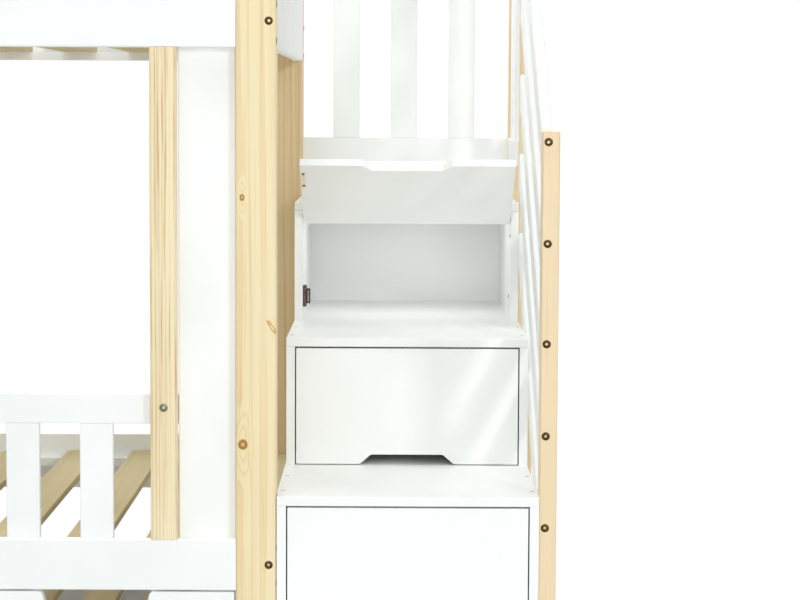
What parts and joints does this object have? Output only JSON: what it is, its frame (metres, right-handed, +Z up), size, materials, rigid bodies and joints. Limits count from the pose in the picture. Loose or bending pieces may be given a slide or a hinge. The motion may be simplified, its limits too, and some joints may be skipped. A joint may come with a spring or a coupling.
{
  "type": "bunk bed with storage stairs",
  "caption": "White and pine bunk bed with a stepped drawer staircase, slanted handrail, flap compartment and a pull-out trundle bed below.",
  "frame": {"origin": "centre of the whole at floor level", "axes": "+X along the bed towards the stairs, +Y to the rear, +Z up"},
  "size_m": [2.47, 1.394, 1.67],
  "materials": {
    "pine": "clear satin varnish",
    "white_painted_wood": "white satin paint",
    "white_panel_board": "white satin coating",
    "runner_wood": "plain",
    "steel": "zinc plated",
    "bronze_steel": "dark bronze plated",
    "brown_plastic": "matte",
    "wheel_plastic": "matte"
  },
  "bodies": {
    "frame": {"front_left_post": "pine", "front_right_post": "pine", "rear_left_post": "pine", "rear_right_post": "pine", "front_batten": "pine", "lower_slats": "pine", "upper_slats": "pine", "handrail_front_post": "pine", "handrail_mid_post": "pine", "handrail_rear_post": "pine", "slat_ledgers": "white_painted_wood", "lower_front_rail": "white_painted_wood", "lower_rear_rail": "white_painted_wood", "lower_left_end_rail": "white_painted_wood", "lower_right_end_rail": "white_painted_wood", "upper_front_rail": "white_painted_wood", "upper_rear_rail": "white_painted_wood", "upper_left_end_rail": "white_painted_wood", "upper_right_end_rail": "white_painted_wood", "front_filler_board": "white_painted_wood", "lower_fence_rail": "white_painted_wood", "lower_fence_slats": "white_painted_wood", "upper_front_guard_rail": "white_painted_wood", "upper_rear_guard_rail": "white_painted_wood", "upper_left_guard_rail": "white_painted_wood", "upper_right_guard_rail": "white_painted_wood", "upper_guard_slats": "white_painted_wood", "stair_guard_rails": "white_painted_wood", "stair_guard_slats": "white_painted_wood", "handrail_boards": "white_painted_wood", "stair_left_panel": "white_panel_board", "stair_right_panel": "white_panel_board", "stair_bottom_board": "white_panel_board", "stair_tread_1": "white_panel_board", "stair_tread_2": "white_panel_board", "stair_tread_3": "white_panel_board", "stair_platform": "white_panel_board", "stair_back_panel": "white_panel_board", "drawer_runners": "runner_wood", "flap_pivot_pins": "steel", "barrel_nuts": "steel", "tread_screws": "steel", "magnetic_catch": "brown_plastic", "post_bolts": "bronze_steel"},
    "drawer_1": {"drawer_1_front": "white_panel_board", "drawer_1_box": "white_panel_board"},
    "drawer_2": {"drawer_2_front": "white_panel_board", "drawer_2_box": "white_panel_board"},
    "drawer_3": {"drawer_3_front": "white_panel_board", "drawer_3_box": "white_panel_board"},
    "flap": {"flap_door": "white_panel_board", "flap_strike_plate": "steel"},
    "trundle": {"trundle_front": "white_painted_wood", "trundle_frame": "white_painted_wood", "trundle_slats": "pine", "trundle_casters": "steel"},
    "wheel_1": {"trundle_wheel_1": "wheel_plastic"},
    "wheel_2": {"trundle_wheel_2": "wheel_plastic"},
    "wheel_3": {"trundle_wheel_3": "wheel_plastic"},
    "wheel_4": {"trundle_wheel_4": "wheel_plastic"}
  },
  "joints": [
    {"name": "drawer_1_slide", "type": "slide", "parent": "frame", "child": "drawer_1", "axis": [0, -1, 0], "range_m": [0, 0.3]},
    {"name": "drawer_2_slide", "type": "slide", "parent": "frame", "child": "drawer_2", "axis": [0, -1, 0], "range_m": [0, 0.3]},
    {"name": "drawer_3_slide", "type": "slide", "parent": "frame", "child": "drawer_3", "axis": [0, -1, 0], "range_m": [0, 0.3]},
    {"name": "flap_hinge", "type": "hinge", "parent": "frame", "child": "flap", "pos_m": [0.9785, 0.2585, 0.9255], "axis": [1, 0, 0], "range_deg": [0, 124]},
    {"name": "trundle_slide", "type": "slide", "parent": "frame", "child": "trundle", "axis": [0, -1, 0], "range_m": [0, 0.9]},
    {"name": "wheel_1_spin", "type": "hinge", "parent": "trundle", "child": "wheel_1", "pos_m": [-1.138, -0.271, 0.025], "axis": [1, 0, 0], "range_deg": [0, 2070]},
    {"name": "wheel_2_spin", "type": "hinge", "parent": "trundle", "child": "wheel_2", "pos_m": [-1.138, 0.489, 0.025], "axis": [1, 0, 0], "range_deg": [0, 2070]},
    {"name": "wheel_3_spin", "type": "hinge", "parent": "trundle", "child": "wheel_3", "pos_m": [0.655, -0.271, 0.025], "axis": [1, 0, 0], "range_deg": [0, 2070]},
    {"name": "wheel_4_spin", "type": "hinge", "parent": "trundle", "child": "wheel_4", "pos_m": [0.655, 0.489, 0.025], "axis": [1, 0, 0], "range_deg": [0, 2070]}
  ],
  "couplings": [
    {"joint": "wheel_1_spin", "follows": "trundle_slide", "rad_per_m": 40},
    {"joint": "wheel_2_spin", "follows": "trundle_slide", "rad_per_m": 40},
    {"joint": "wheel_3_spin", "follows": "trundle_slide", "rad_per_m": 40},
    {"joint": "wheel_4_spin", "follows": "trundle_slide", "rad_per_m": 40}
  ]
}
